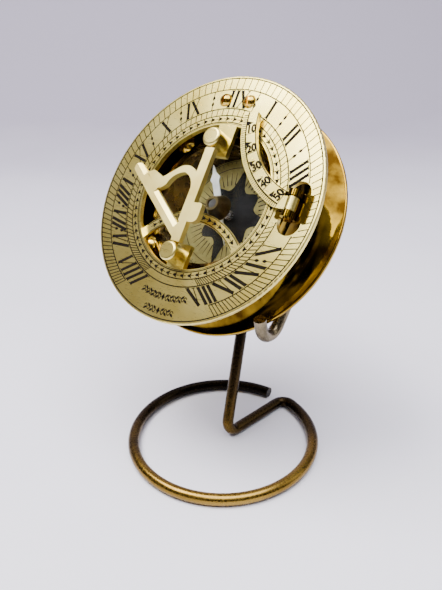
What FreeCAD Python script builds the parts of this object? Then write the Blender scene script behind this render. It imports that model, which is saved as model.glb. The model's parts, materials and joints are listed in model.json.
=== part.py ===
"""Pocket sundial with a compass, lying in the wire cradle of its display stand.

The stand is drawn in a frame with its base ring's centre at the origin and +Z up. The sundial is
drawn in its own frame: +X is east, +Y is north (the XII), +Z is the dial's outward normal, and the
origin is the centre of the dial plate's top face. The case lies below it, at negative Z. One
placement then sets the sundial in the cradle, and one shift puts the origin at the centre of the
bottom of the whole object's bounding box.
"""
import FreeCAD
import Part
import math
import os
from FreeCAD import Placement, Rotation, Vector

# ---- driving dimensions, in millimetres and degrees ----
DIAL_RADIUS = 38.1
PLATE_THICKNESS = 1.6
OPENING_RADIUS = 22.3
RIM_ROUND = 0.35
DIAL_CENTRE = Vector(-10.57, 3.63, 79.87)
DIAL_INCLINATION = 52.26
DIAL_ROLL = 3.63

# stand
WIRE_RADIUS = 1.8
RING_RADIUS = 29.0
RING_FREE_END_ANGLE = 96.0
RING_BEND_ANGLE = 75.0
SPOKE_CORNER = Vector(3.2, 29.15, WIRE_RADIUS)
STEM_FOOT = Vector(0.7, 0.6, WIRE_RADIUS)
STEM_KNEE = Vector(-5.3, 19.5, 50.0)
SPOKE_BEND_RADIUS = 3.4
FOOT_BEND_RADIUS = 3.6
KNEE_BEND_RADIUS = 9.0
HOOK_ACROSS = 28.0
HOOK_DOWN = 25.5
HOOK_BEND_RADIUS = 4.3
HOOK_FLARE_ANGLE = 50.0
HOOK_TIP_LENGTH = 3.6
CRADLE_SHOULDER_DOWN = 10.0
CRADLE_SHOULDER_BEND = 5.0
CRADLE_APEX_BEND = 6.0
CRADLE_GAP = 0.3
BRAZE_RADIUS = 2.9

# case, in depths below the dial's top face
CASE_GAP = 0.2
CASE_DEPTH = 18.0
BASE_THICKNESS = 1.2
BASE_RADIUS = 37.25
DRUM_RADIUS = 28.0
DRUM_BORE_RADIUS = 26.8
DRUM_FOOT_DEPTH = 5.5
COVE_FOOT_RADIUS = 36.75
SHELF_DEPTH = 5.2
SHELF_BORE_RADIUS = 19.6
BEZEL_DEPTH = 4.2
BEZEL_BORE_RADIUS = 20.6
BEZEL_GAP = 0.1
BEZEL_SCREW_CIRCLE = 23.7
BEZEL_SCREW_HEAD = 2.9
BEZEL_SCREW_RISE = 1.4
BEZEL_SCREW_SHANK = 0.9
BEZEL_SCREW_HOLE = 1.0
BEZEL_SCREW_LENGTH = 2.4
GLASS_THICKNESS = 0.8
BOWL_WALL = 0.7
BOWL_GAP = 0.1
CARD_DEPTH = 15.5
CARD_THICKNESS = 0.4

# compass needle
NEEDLE_BEARING = 31.6
NEEDLE_LENGTH = 15.6
NEEDLE_TAIL = 12.5
NEEDLE_DEPTH = 9.6
NEEDLE_THICKNESS = 0.5
NEEDLE_HUB_RADIUS = 2.6
CAP_TOP_DEPTH = 5.5
CAP_TOP_RADIUS = 2.2
CAP_FOOT_RADIUS = 4.1
CAP_BORE_RADIUS = 1.45
POST_TIP_DEPTH = 8.7
POST_RADIUS = 0.6
POST_TIP_LENGTH = 1.4
POST_FOOT_RADIUS = 1.5

# hinge between the case and the dial plate
HINGE_NORTH = 30.0
HINGE_DEPTH = 4.0
HINGE_PIN_RADIUS = 0.8
HINGE_BORE_CLEARANCE = 0.05
HINGE_BLOCK_WIDTH = 12.6
HINGE_LUG_THICKNESS = 2.8
HINGE_KNUCKLE_RADIUS = 1.7
HINGE_SCREW_EAST = 4.3
HINGE_SCREW_HEAD = 2.1
HINGE_SCREW_RISE = 1.5
HINGE_SCREW_SHANK = 0.7
HINGE_SCREW_HOLE = 0.75
HINGE_SCREW_LENGTH = 2.9
SADDLE_THICKNESS = 0.25

# gnomon
POST_X = -0.2
POST_NORTH_Y = 16.1
POST_SOUTH_Y = -18.8
GNOMON_POST_RADIUS = 2.9
GNOMON_POST_HEIGHT = 5.4
POST_TAIL_RADIUS = 1.2
POST_EDGE_ROUND = 0.7
TAB_HALF_WIDTH = 3.15
TAB_REACH = 3.75
GNOMON_AXIS_X = 0.5
GNOMON_AXIS_HEIGHT = 3.6
GNOMON_THICKNESS = 1.8
GNOMON_BAR_WIDTH = 3.1
GNOMON_END_GAP = 0.3
GNOMON_PIN_RADIUS = 0.7
GNOMON_PIN_DEPTH = 1.8
GNOMON_PIN_HOLD = 1.5
STYLE_LATITUDE = 53.5
STYLE_TOE_Y = -13.9
STYLE_LENGTH = 29.9
STYLE_WIDTH = 3.1
STYLE_BEVEL_WIDTH = 1.3
STYLE_BEVEL_DROP = 0.45
BRACE_JOIN_Y = 5.4
BRACE_CREST = (-4.6, 6.68)
BRACE_SHOULDER = (-7.65, 5.8)
BRACE_ANKLE = (-12.65, 2.1)
BRACE_TOE = (-16.8, 3.9)
BRACE_NOTCH = (-19.2, 2.9)
WINDOW_CORNER = (-13.4, -1.62)
WINDOW_LIP = (-10.35, 0.15)
WINDOW_CROWN = (-4.95, 4.5)
HEEL_SOUTH = -9.5
HEEL_NORTH = -3.7
HEEL_REACH = 4.75
SPRING_ARCH_CENTRE_Y = -29.2
SPRING_ARCH_RADIUS = 23.3
SPRING_WIDTH = 2.9
SPRING_THICKNESS = 0.8
SPRING_REACH = 25.4

# latitude arc and its bracket
SLOT_CENTRE = Vector(30.9, 0.9, 0)
BRACKET_Y = 1.2
SLOT_LENGTH = 15.3
SLOT_WIDTH = 6.9
ARC_AXIS_X = 31.0
ARC_AXIS_HEIGHT = 1.9
ARC_THICKNESS = 1.5
ARC_OUTER_CENTRE = Vector(36.5, 27.9, 0)
ARC_OUTER_RADIUS = 30.2
ARC_INNER_CENTRE = Vector(35.9, 28.3, 0)
ARC_INNER_RADIUS = 24.95
ARC_TIP_Y = 25.5
ARC_ROOT_SOUTH = Vector(26.6, -0.8, 0)
ARC_ROOT_NORTH = Vector(28.7, 4.4, 0)
ARC_NECK_REACH = 2.4
ARC_KNUCKLE_RADIUS = 1.6
ARC_KNUCKLE_LENGTH = 3.6
BRACKET_LENGTH = 7.6
BRACKET_CHEEK = 1.7
BRACKET_CHEEK_WIDTH = 3.9
BRACKET_DEPTH = 1.55
BRACKET_EAR = 1.2
BRACKET_EAR_THICKNESS = 0.5
ARC_PIN_RADIUS = 0.7

EAST = Vector(1, 0, 0)
NORTH = Vector(0, 1, 0)
UP = Vector(0, 0, 1)


# ---- small helpers ----
def box(low, high):
    """A box between two opposite corners."""
    size = high - low
    return Part.makeBox(size.x, size.y, size.z, low)


def rod(start, direction, radius, length):
    """A round rod from start along direction."""
    return Part.makeCylinder(radius, length, start, direction)


def disc(radius, top_depth, thickness):
    """A disc on the dial's axis, with its top face at the given depth."""
    return rod(Vector(0, 0, -top_depth - thickness), UP, radius, thickness)


def ring(outer, inner, top_depth, thickness):
    """A flat ring on the dial's axis."""
    return disc(outer, top_depth, thickness).cut(disc(inner, top_depth, thickness))


def slab(points, low, high):
    """A straight-sided outline in the dial's plane, drawn out between two heights."""
    outline = Part.makePolygon([Vector(x, y, low) for x, y in points + points[:1]])
    return Part.Face(outline).extrude(Vector(0, 0, high - low))


def outline_slab(start, steps, low, high):
    """An outline drawn out between two heights.

    A step is one point for a straight run, or a point on the way and an end point for an arc.
    """
    edges = []
    first = Vector(*start, low)
    here = first
    for step in steps:
        spots = [Vector(x, y, low) for x, y in step]
        if len(spots) == 1:
            edges.append(Part.makeLine(here, spots[0]))
        else:
            edges.append(Part.Arc(here, *spots).toShape())
        here = spots[-1]
    edges.append(Part.makeLine(here, first))
    return Part.Face(Part.Wire(edges)).extrude(Vector(0, 0, high - low))


def band(centre, radius, width, start, end, low, high):
    """A curved band of even width around centre, from start to end in degrees counter-clockwise."""
    height = high - low
    foot = Vector(centre.x, centre.y, low)
    outer = Part.makeCylinder(radius + width / 2, height, foot, UP, end - start)
    inner = Part.makeCylinder(radius - width / 2, height, foot, UP, end - start)
    sector = outer.cut(inner)
    sector.rotate(foot, UP, start)
    return sector


def bent_path(points, bends):
    """Edges of a line through points, with an arc of the given bend radius at each inner point."""
    edges = []
    start = points[0]
    for index, radius in enumerate(bends, 1):
        corner = points[index]
        back = (points[index - 1] - corner).normalize()
        ahead = (points[index + 1] - corner).normalize()
        half = back.getAngle(ahead) / 2
        reach = radius / math.tan(half)
        into = corner + back * reach
        out = corner + ahead * reach
        middle = corner + (back + ahead).normalize() * (radius / math.sin(half) - radius)
        edges.append(Part.makeLine(start, into))
        edges.append(Part.Arc(into, middle, out).toShape())
        start = out
    edges.append(Part.makeLine(start, points[-1]))
    return edges


def swept_wire(edges, start, direction):
    """A round wire of the stand's gauge, swept along edges."""
    profile = Part.Wire(Part.makeCircle(WIRE_RADIUS, start, direction))
    return Part.Wire(edges).makePipeShell([profile], True, True)


def slotted_screw(centre, head_radius, head_height, shank_radius, shank_length, slot_angle):
    """A domed screw head with a slot across it, on a short shank."""
    ball_radius = (head_radius ** 2 + head_height ** 2) / (2 * head_height)
    ball = Part.makeSphere(ball_radius, centre + UP * (head_height - ball_radius))
    head = ball.common(rod(centre, UP, head_radius, head_height))
    slot_half = head_radius * 0.14
    slot_low = centre + Vector(-2 * head_radius, -slot_half, head_height * 0.45)
    slot = box(slot_low, slot_low + Vector(4 * head_radius, 2 * slot_half, head_height))
    slot.rotate(centre, UP, slot_angle)
    shank = rod(centre - UP * shank_length, UP, shank_radius, shank_length)
    return head.cut(slot).fuse(shank)


# ---- the stand, in its own frame ----
def in_cradle_plane(across, down, depth):
    """A point of the plane that the case lies in: across is level, down runs down the slope."""
    local = Vector(across, -down, -depth)
    return DIAL_CENTRE + Rotation(EAST, DIAL_INCLINATION).multVec(local)


def arm_depth():
    """Depth of the cradle arms' centre line, behind the case's back face."""
    return CASE_DEPTH + CRADLE_GAP + WIRE_RADIUS


def apex_down():
    """How far the rounded apex of the cradle lies below the dial's axis."""
    half = math.atan2(HOOK_ACROSS, CRADLE_SHOULDER_DOWN)
    return CRADLE_APEX_BEND / math.sin(half) - CRADLE_APEX_BEND


def stem_top():
    """The end of the stem's centre line: just past the cradle's apex, and one wire behind it."""
    return in_cradle_plane(0, apex_down() - WIRE_RADIUS, arm_depth() + 2 * WIRE_RADIUS)


def stand_wire():
    """One wire: the open base ring, the spoke to the middle, and the leaning stem."""
    free = math.radians(RING_FREE_END_ANGLE)
    bend = math.radians(RING_BEND_ANGLE)
    middle = (free + bend + 2 * math.pi) / 2

    def on_ring(angle):
        return Vector(RING_RADIUS * math.cos(angle), RING_RADIUS * math.sin(angle), WIRE_RADIUS)

    ring_arc = Part.Arc(on_ring(free), on_ring(middle), on_ring(bend)).toShape()
    route = [on_ring(bend), SPOKE_CORNER, STEM_FOOT, STEM_KNEE, stem_top()]
    bends = [SPOKE_BEND_RADIUS, FOOT_BEND_RADIUS, KNEE_BEND_RADIUS]
    edges = [ring_arc] + bent_path(route, bends)
    return swept_wire(edges, on_ring(free), Vector(-math.sin(free), math.cos(free), 0))


def hook_points(side):
    """Arm end, bend middle, bend end and tip of one hook, from the back arm to the free tip."""
    flare = math.radians(HOOK_FLARE_ANGLE)
    centre_depth = arm_depth() - HOOK_BEND_RADIUS

    def place(down, depth):
        return in_cradle_plane(side * HOOK_ACROSS, down, depth)

    def on_bend(turn):
        return (HOOK_DOWN + HOOK_BEND_RADIUS * math.cos(turn),
                centre_depth + HOOK_BEND_RADIUS * math.sin(turn))

    end_down, end_depth = on_bend(flare - math.pi / 2)
    tip_down = end_down - HOOK_TIP_LENGTH * math.cos(flare)
    tip_depth = end_depth - HOOK_TIP_LENGTH * math.sin(flare)
    arm_end = place(HOOK_DOWN, centre_depth + HOOK_BEND_RADIUS)
    return arm_end, place(*on_bend(0)), place(end_down, end_depth), place(tip_down, tip_depth)


def cradle_wire():
    """One wire: hook, arm up the case's back, rounded apex in the middle, arm and hook."""
    left_arm, left_bend, left_leg, left_tip = hook_points(-1)
    right_arm, right_bend, right_leg, right_tip = hook_points(1)
    edges = [Part.makeLine(left_tip, left_leg), Part.Arc(left_leg, left_bend, left_arm).toShape()]
    left_shoulder = in_cradle_plane(-HOOK_ACROSS, CRADLE_SHOULDER_DOWN, arm_depth())
    right_shoulder = in_cradle_plane(HOOK_ACROSS, CRADLE_SHOULDER_DOWN, arm_depth())
    apex = in_cradle_plane(0, 0, arm_depth())
    edges += bent_path([left_arm, left_shoulder, apex, right_shoulder, right_arm],
                       [CRADLE_SHOULDER_BEND, CRADLE_APEX_BEND, CRADLE_SHOULDER_BEND])
    edges += [Part.Arc(right_arm, right_bend, right_leg).toShape()]
    edges += [Part.makeLine(right_leg, right_tip)]
    return swept_wire(edges, left_tip, left_leg - left_tip)


def brazed_joint(stem, cradle):
    """The bead of brazing metal between the stem's end and the cradle's apex."""
    centre = in_cradle_plane(0, apex_down(), arm_depth() + WIRE_RADIUS)
    bead = Part.makeSphere(BRAZE_RADIUS, centre)
    behind_case = in_cradle_plane(0, apex_down(), CASE_DEPTH + CRADLE_GAP)
    normal = Rotation(EAST, DIAL_INCLINATION).multVec(UP)
    bead = bead.cut(rod(behind_case, normal, 2 * BRAZE_RADIUS, 2 * BRAZE_RADIUS))
    return bead.cut(stem).cut(cradle)


# ---- the case and the compass, in the sundial's frame ----
def case_body():
    """The turned case wall: drum, cove down to the base, and the shelf under the bezel."""
    top = -(PLATE_THICKNESS + CASE_GAP)
    foot = -(CASE_DEPTH - BASE_THICKNESS)
    drum_foot = -DRUM_FOOT_DEPTH
    cove_radius = drum_foot - foot
    cove_centre = DRUM_RADIUS + cove_radius
    cove_end = drum_foot - math.sqrt(cove_radius ** 2 - (cove_centre - COVE_FOOT_RADIUS) ** 2)
    turn = math.radians(45)
    cove_middle = Vector(cove_centre - cove_radius * math.cos(turn), 0,
                         drum_foot - cove_radius * math.sin(turn))
    corners = [(COVE_FOOT_RADIUS, cove_end), (COVE_FOOT_RADIUS, foot), (SHELF_BORE_RADIUS, foot),
               (SHELF_BORE_RADIUS, -SHELF_DEPTH), (DRUM_BORE_RADIUS, -SHELF_DEPTH),
               (DRUM_BORE_RADIUS, top), (DRUM_RADIUS, top), (DRUM_RADIUS, drum_foot)]
    points = [Vector(radius, 0, height) for radius, height in corners]
    cove = Part.Arc(points[-1], cove_middle, points[0]).toShape()
    outline = Part.Wire(Part.makePolygon(points).Edges + [cove])
    body = Part.Face(outline).revolve(Vector(0, 0, 0), UP, 360)
    for centre in bezel_screw_centres():
        body = body.cut(rod(centre - UP * (BEZEL_SCREW_LENGTH + 0.2), UP, BEZEL_SCREW_HOLE, 3))
    return body


def case_base():
    """The flat bottom disc, whose rim stands out as a thin rounded lip."""
    disc_solid = disc(BASE_RADIUS, CASE_DEPTH - BASE_THICKNESS, BASE_THICKNESS)
    rims = [edge for edge in disc_solid.Edges if edge.Closed]
    return disc_solid.makeFillet(0.4, rims)


def bezel_screw_centres():
    """Centres of the four bezel screws, on the bezel's top face."""
    for step in range(4):
        angle = math.radians(45 + 90 * step)
        yield Vector(BEZEL_SCREW_CIRCLE * math.cos(angle), BEZEL_SCREW_CIRCLE * math.sin(angle),
                     -BEZEL_DEPTH)


def bezel_ring():
    """The ring that holds the glass down."""
    bezel = ring(DRUM_BORE_RADIUS - BEZEL_GAP, BEZEL_BORE_RADIUS, BEZEL_DEPTH,
                 SHELF_DEPTH - BEZEL_DEPTH)
    for centre in bezel_screw_centres():
        bezel = bezel.cut(rod(centre - UP * 2, UP, BEZEL_SCREW_HOLE, 3))
    return bezel


def bezel_screws():
    """The four bezel screws, by node name."""
    screws = {}
    for number, centre in enumerate(bezel_screw_centres(), 1):
        screws[f"bezel_screw_{number}"] = slotted_screw(centre, BEZEL_SCREW_HEAD,
                                                        BEZEL_SCREW_RISE, BEZEL_SCREW_SHANK,
                                                        BEZEL_SCREW_LENGTH, 37 * number)
    return screws


def compass_glass():
    """The flat glass over the needle."""
    return disc(BEZEL_BORE_RADIUS - BEZEL_GAP, SHELF_DEPTH - GLASS_THICKNESS, GLASS_THICKNESS)


def compass_bowl():
    """The thin cup that lines the case below the glass."""
    outer = SHELF_BORE_RADIUS - 0.05
    floor_depth = CARD_DEPTH + CARD_THICKNESS
    foot_depth = CASE_DEPTH - BASE_THICKNESS
    cup = disc(outer, SHELF_DEPTH + BOWL_GAP, foot_depth - SHELF_DEPTH - BOWL_GAP)
    return cup.cut(disc(outer - BOWL_WALL, SHELF_DEPTH, floor_depth - SHELF_DEPTH))


def compass_card():
    """The printed card on the floor of the bowl, with a hole for the pivot post."""
    outer = SHELF_BORE_RADIUS - BOWL_WALL - 0.15
    return ring(outer, 1.6, CARD_DEPTH, CARD_THICKNESS)


def pivot_post():
    """The post that the needle balances on: a round foot, a thin pillar and a sharp tip."""
    floor = -(CARD_DEPTH + CARD_THICKNESS)
    pillar_top = -(POST_TIP_DEPTH + POST_TIP_LENGTH)
    foot = rod(Vector(0, 0, floor), UP, POST_FOOT_RADIUS, POST_FOOT_RADIUS)
    pillar = rod(Vector(0, 0, floor), UP, POST_RADIUS, pillar_top - floor)
    tip = Part.makeCone(POST_RADIUS, POST_RADIUS / 5, POST_TIP_LENGTH, Vector(0, 0, pillar_top), UP)
    return foot.fuse([pillar, tip])


def needle():
    """The flat needle: a lance head to the north, a plain taper to the south."""
    half = 1.15
    north = [(half, 0), (half, 9.2), (1.75, 10.6), (0.62, 12.6), (0.42, 14.5), (0, NEEDLE_LENGTH)]
    mirrored = [(-x, y) for x, y in reversed(north[:-1])]
    outline = north + mirrored + [(0, -NEEDLE_TAIL)]
    blade = slab(outline, -NEEDLE_DEPTH - NEEDLE_THICKNESS, -NEEDLE_DEPTH)
    blade = blade.fuse(disc(NEEDLE_HUB_RADIUS, NEEDLE_DEPTH, NEEDLE_THICKNESS))
    blade = blade.cut(rod(Vector(0, 0, -NEEDLE_DEPTH - 1), UP, CAP_BORE_RADIUS, 2))
    blade.rotate(Vector(0, 0, 0), UP, NEEDLE_BEARING)
    return blade.removeSplitter()


def needle_cap():
    """The brass cone on top of the needle, bored for the jewel."""
    height = NEEDLE_DEPTH - CAP_TOP_DEPTH
    cone = Part.makeCone(CAP_FOOT_RADIUS, CAP_TOP_RADIUS, height, Vector(0, 0, -NEEDLE_DEPTH), UP)
    return cone.cut(rod(Vector(0, 0, -NEEDLE_DEPTH - 1), UP, CAP_BORE_RADIUS, height + 2))


def cap_jewel():
    """The dark jewel bearing in the cap's bore."""
    top_depth = CAP_TOP_DEPTH + 0.5
    return disc(CAP_BORE_RADIUS, top_depth, POST_TIP_DEPTH - 0.1 - top_depth)


# ---- the hinge at the XII ----
def hinge_axis_point():
    return Vector(0, HINGE_NORTH, -HINGE_DEPTH)


def hinge_lug_span():
    """Inner and outer distance east or west of the middle that each lug covers."""
    inner = HINGE_BLOCK_WIDTH / 2 + 0.2
    return inner, inner + HINGE_LUG_THICKNESS


def hinge_bracket():
    """Two lugs on a curved plate that is brazed to the drum's north side."""
    inner, outer = hinge_lug_span()
    low_z = -HINGE_DEPTH - HINGE_KNUCKLE_RADIUS
    top_z = -(PLATE_THICKNESS + 2 * CASE_GAP)
    saddle = box(Vector(-outer, 0, low_z - 1), Vector(outer, DRUM_RADIUS + SADDLE_THICKNESS, top_z))
    saddle = saddle.common(disc(DRUM_RADIUS + SADDLE_THICKNESS, 0, CASE_DEPTH))
    lugs = []
    for side in (-1, 1):
        low_x, high_x = sorted((side * inner, side * outer))
        lug = box(Vector(low_x, DRUM_RADIUS - 3, low_z), Vector(high_x, HINGE_NORTH, top_z))
        knuckle = rod(Vector(low_x, HINGE_NORTH, -HINGE_DEPTH), EAST, HINGE_KNUCKLE_RADIUS,
                      high_x - low_x)
        lugs += [lug, knuckle]
    bracket = saddle.fuse(lugs)
    bracket = bracket.cut(rod(Vector(-outer - 1, HINGE_NORTH, -HINGE_DEPTH), EAST,
                              HINGE_PIN_RADIUS, 2 * outer + 2))
    bracket = bracket.cut(disc(DRUM_RADIUS, 0, CASE_DEPTH)).cut(case_body())
    return bracket.removeSplitter()


def hinge_pin():
    """The pin through both lugs and the block between them."""
    _, outer = hinge_lug_span()
    length = 2 * outer + 0.6
    return rod(Vector(-length / 2, HINGE_NORTH, -HINGE_DEPTH), EAST, HINGE_PIN_RADIUS, length)


def hinge_block():
    """The block under the plate that turns on the hinge pin."""
    half = HINGE_BLOCK_WIDTH / 2
    start = Vector(-half, HINGE_NORTH, -HINGE_DEPTH)
    knuckle = rod(start, EAST, HINGE_KNUCKLE_RADIUS, HINGE_BLOCK_WIDTH)
    upper = box(Vector(-half, HINGE_NORTH - HINGE_KNUCKLE_RADIUS, -HINGE_DEPTH),
                Vector(half, HINGE_NORTH + HINGE_KNUCKLE_RADIUS, -PLATE_THICKNESS))
    block = knuckle.fuse(upper)
    bore = rod(start - EAST, EAST, HINGE_PIN_RADIUS + HINGE_BORE_CLEARANCE, HINGE_BLOCK_WIDTH + 2)
    block = block.cut(bore)
    for side in (-1, 1):
        block = block.cut(rod(hinge_screw_centre(side) - UP * 3, UP, HINGE_SCREW_HOLE, 4))
    return block.removeSplitter()


def hinge_screw_centre(side):
    return Vector(side * HINGE_SCREW_EAST, HINGE_NORTH, 0)


# ---- the dial plate and what is fixed to it ----
def slot_cut():
    """The obround slot through the plate, for the latitude arc's bracket."""
    half_width = SLOT_WIDTH / 2
    straight = SLOT_LENGTH / 2 - SLOT_WIDTH / 2
    low = SLOT_CENTRE - UP * (PLATE_THICKNESS + 1)
    height = PLATE_THICKNESS + 2
    middle = box(low + Vector(-half_width, -straight, 0), low + Vector(half_width, straight, height))
    ends = [rod(low + NORTH * (side * straight), UP, half_width, height) for side in (-1, 1)]
    return middle.fuse(ends)


def dial_plate():
    """The round plate with its opening, the two post tabs and the slot."""
    plate = ring(DIAL_RADIUS, OPENING_RADIUS, 0, PLATE_THICKNESS)
    for post_y in (POST_NORTH_Y, POST_SOUTH_Y):
        outward = math.copysign(1, post_y)
        low_y, high_y = sorted((post_y - outward * TAB_REACH, outward * (OPENING_RADIUS + 1)))
        tab = box(Vector(-TAB_HALF_WIDTH, low_y, -PLATE_THICKNESS),
                  Vector(TAB_HALF_WIDTH, high_y, 0))
        plate = plate.fuse(tab)
    plate = plate.cut(slot_cut())
    for post_y in (POST_NORTH_Y, POST_SOUTH_Y):
        plate = plate.cut(rod(Vector(POST_X, post_y, -3), UP, POST_TAIL_RADIUS, 4))
    for side in (-1, 1):
        plate = plate.cut(rod(hinge_screw_centre(side) - UP * 3, UP, HINGE_SCREW_HOLE, 4))
    plate = plate.removeSplitter()
    rims = [edge for edge in plate.Edges if is_rim(edge)]
    return plate.makeFillet(RIM_ROUND, rims)


def is_rim(edge):
    """True for the two circles round the outside of the plate."""
    round_edge = isinstance(edge.Curve, Part.Circle)
    return round_edge and abs(edge.Curve.Radius - DIAL_RADIUS) < 0.01


def gnomon_post(post_y):
    """A round pillar with a blind pivot hole on its inner side and a tail through the tab."""
    pillar = rod(Vector(POST_X, post_y, 0), UP, GNOMON_POST_RADIUS, GNOMON_POST_HEIGHT)
    top = [edge for edge in pillar.Edges if edge.Closed and edge.BoundBox.ZMin > 1]
    pillar = pillar.makeFillet(POST_EDGE_ROUND, top)
    tail = rod(Vector(POST_X, post_y, -PLATE_THICKNESS), UP, POST_TAIL_RADIUS, PLATE_THICKNESS)
    inward = -math.copysign(1, post_y)
    hole_start = Vector(GNOMON_AXIS_X, post_y, GNOMON_AXIS_HEIGHT)
    hole = rod(hole_start, NORTH * inward, GNOMON_PIN_RADIUS + HINGE_BORE_CLEARANCE,
               GNOMON_POST_RADIUS + 1)
    return pillar.fuse(tail).cut(hole)


def gnomon_spring():
    """The arched strip under the opening that bears on the gnomon's heel."""
    low = -PLATE_THICKNESS - SPRING_THICKNESS
    centre = Vector(0, SPRING_ARCH_CENTRE_Y, 0)
    arch = band(centre, SPRING_ARCH_RADIUS, SPRING_WIDTH, 0, 180, low, -PLATE_THICKNESS)
    return arch.common(disc(SPRING_REACH, 0, CASE_DEPTH))


def bar_ends():
    """South and north ends of the gnomon's base bar, just clear of the posts."""
    reach = GNOMON_POST_RADIUS + GNOMON_END_GAP
    return POST_SOUTH_Y + reach, POST_NORTH_Y - reach


def style_direction():
    """The direction of the style, up from the toe."""
    angle = math.radians(STYLE_LATITUDE)
    return Vector(-math.sin(angle), math.cos(angle), 0)


def style_bevel(start, end, top):
    """The wedge cut from the style's north edge, between two distances from the toe."""
    along = style_direction()
    inward = Vector(-along.y, along.x, 0)
    edge = Vector(GNOMON_AXIS_X, STYLE_TOE_Y, top) + along * start - inward * (STYLE_WIDTH / 2)
    outer = edge - inward
    corners = [edge + inward * STYLE_BEVEL_WIDTH, edge - UP * STYLE_BEVEL_DROP,
               outer - UP * STYLE_BEVEL_DROP, outer + UP, edge + inward * STYLE_BEVEL_WIDTH + UP]
    section = Part.Face(Part.makePolygon(corners + corners[:1]))
    return section.extrude(along * (end - start))


def gnomon():
    """The folding gnomon, lying flat to the west: base bar, style, scrolled brace and heel."""
    low = GNOMON_AXIS_HEIGHT - GNOMON_THICKNESS / 2
    high = GNOMON_AXIS_HEIGHT + GNOMON_THICKNESS / 2
    south, north = bar_ends()
    west = GNOMON_AXIS_X - GNOMON_BAR_WIDTH / 2
    east = GNOMON_AXIS_X + GNOMON_BAR_WIDTH / 2
    bar = box(Vector(west, south, low), Vector(east, north, high))
    # the style rises from the south end of the bar, at the latitude's angle to it
    toe = Vector(GNOMON_AXIS_X, STYLE_TOE_Y, low)
    style = box(Vector(-STYLE_WIDTH / 2, 0, 0), Vector(STYLE_WIDTH / 2, STYLE_LENGTH, high - low))
    tip = rod(Vector(0, STYLE_LENGTH, 0), UP, STYLE_WIDTH / 2, high - low)
    style = style.fuse(tip)
    style.Placement = Placement(toe, Rotation(UP, STYLE_LATITUDE))
    # the brace arches from the bar to the style, round a D-shaped window
    web = outline_slab((GNOMON_AXIS_X, BRACE_JOIN_Y),
                       [[(west - 0.5, BRACE_JOIN_Y)], [BRACE_CREST, BRACE_SHOULDER], [BRACE_ANKLE],
                        [BRACE_TOE], [BRACE_NOTCH], [(toe.x, toe.y)]], low, high)
    foot_y = STYLE_TOE_Y + (STYLE_WIDTH / 2) / math.sin(math.radians(STYLE_LATITUDE))
    foot_y += (GNOMON_AXIS_X - west) / math.tan(math.radians(STYLE_LATITUDE))
    window = outline_slab(WINDOW_CORNER,
                          [[(-11.5, -0.85), WINDOW_LIP], [(-8.65, 2.95), WINDOW_CROWN],
                           [(-2.75, 3.35), (west, WINDOW_LIP[1])], [(west, foot_y)]],
                          low - 1, high + 1)
    heel_east = GNOMON_AXIS_X + HEEL_REACH
    heel = box(Vector(GNOMON_AXIS_X, HEEL_SOUTH, low), Vector(heel_east, HEEL_NORTH, high))
    heel = heel.makeFillet(2.0, upright_edges(heel, heel_east, HEEL_SOUTH))
    heel = heel.makeFillet(0.6, upright_edges(heel, heel_east, HEEL_NORTH))
    frame = bar.fuse([style, web, heel]).cut(window)
    notch_reach = (Vector(*BRACE_NOTCH, 0) - Vector(toe.x, toe.y, 0)).Length
    corner_reach = (Vector(*WINDOW_CORNER, 0) - Vector(toe.x, toe.y, 0)).Length
    frame = frame.cut(style_bevel(notch_reach, STYLE_LENGTH + STYLE_WIDTH, high))
    frame = frame.cut(style_bevel(STYLE_WIDTH, corner_reach - 0.4, high))
    for post_y, end in ((POST_SOUTH_Y, south), (POST_NORTH_Y, north)):
        inward = -math.copysign(1, post_y)
        frame = frame.cut(rod(Vector(GNOMON_AXIS_X, post_y, GNOMON_AXIS_HEIGHT), NORTH * inward,
                              GNOMON_PIN_RADIUS, abs(end - post_y) + GNOMON_PIN_HOLD))
    return frame.removeSplitter()


def upright_edges(solid, x, y):
    """The upright edges of a block at one corner of its outline."""
    return [edge for edge in solid.Edges
            if abs(edge.tangentAt(0).z) > 0.9 and edge.BoundBox.Center.x > x - 0.01
            and abs(edge.BoundBox.Center.y - y) < 0.01]


def gnomon_pin(post_y, bar_end):
    """A pivot pin fixed in one end of the gnomon's bar, reaching into the post."""
    outward = math.copysign(1, post_y)
    start = Vector(GNOMON_AXIS_X, bar_end - outward * GNOMON_PIN_HOLD, GNOMON_AXIS_HEIGHT)
    reach = GNOMON_PIN_HOLD + GNOMON_END_GAP + GNOMON_PIN_DEPTH
    return rod(start, NORTH * outward, GNOMON_PIN_RADIUS, reach)


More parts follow.
